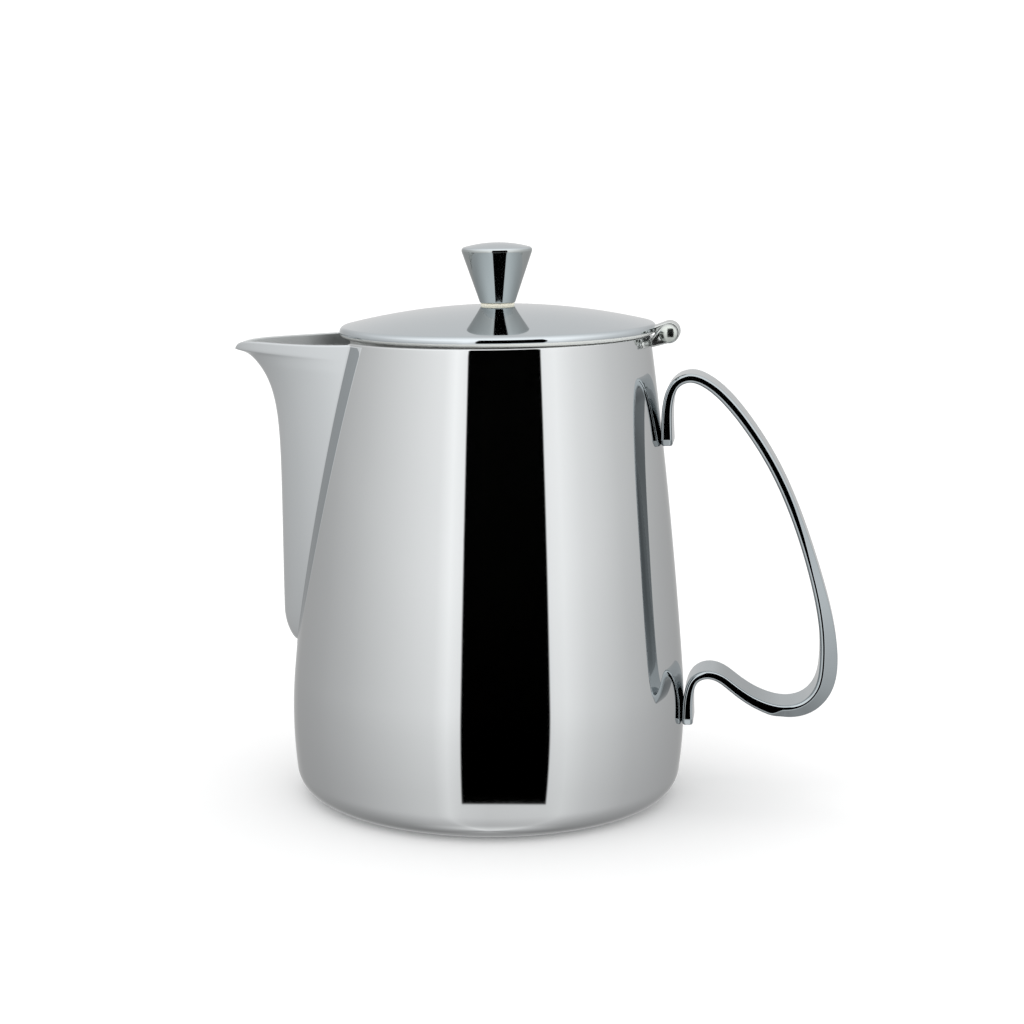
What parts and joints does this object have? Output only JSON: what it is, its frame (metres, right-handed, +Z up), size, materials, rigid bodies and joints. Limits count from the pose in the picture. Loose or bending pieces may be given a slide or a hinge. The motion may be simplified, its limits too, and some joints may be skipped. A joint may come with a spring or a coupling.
{
  "type": "coffee pot",
  "caption": "Tapered round metal coffee pot with a folded pouring spout, a bent strap handle and a hinged lid with a conical knob.",
  "frame": {"origin": "centre of the bottom of the base, on the table", "axes": "+Z up, +X from the axis of the body towards the handle and the hinge, spout towards -X"},
  "size_m": [0.1692, 0.11, 0.1539],
  "materials": {
    "body_steel": "mirror polished stainless steel",
    "spout_steel": "mirror polished stainless steel",
    "handle_steel": "mirror polished stainless steel with brushed edges",
    "hinge_steel": "polished stainless steel",
    "lid_steel": "mirror polished stainless steel",
    "knob_steel": "mirror polished stainless steel",
    "foot_ring_plastic": "smooth ivory plastic",
    "screw_steel": "plain stainless steel"
  },
  "bodies": {
    "pot": {"body_shell": "body_steel", "spout": "spout_steel", "handle": "handle_steel", "hinge_bracket": "hinge_steel", "hinge_pin": "hinge_steel"},
    "lid": {"lid_shell": "lid_steel", "lid_locating_ring": "lid_steel", "lid_hinge_leaf": "hinge_steel", "knob": "knob_steel", "knob_foot_ring": "foot_ring_plastic", "knob_screw": "screw_steel", "knob_screw_washer": "screw_steel"}
  },
  "joints": [
    {"name": "lid_hinge", "type": "hinge", "parent": "pot", "child": "lid", "pos_m": [0.049, 0, 0.1303], "axis": [0, 1, 0], "range_deg": [0, 105]}
  ]
}
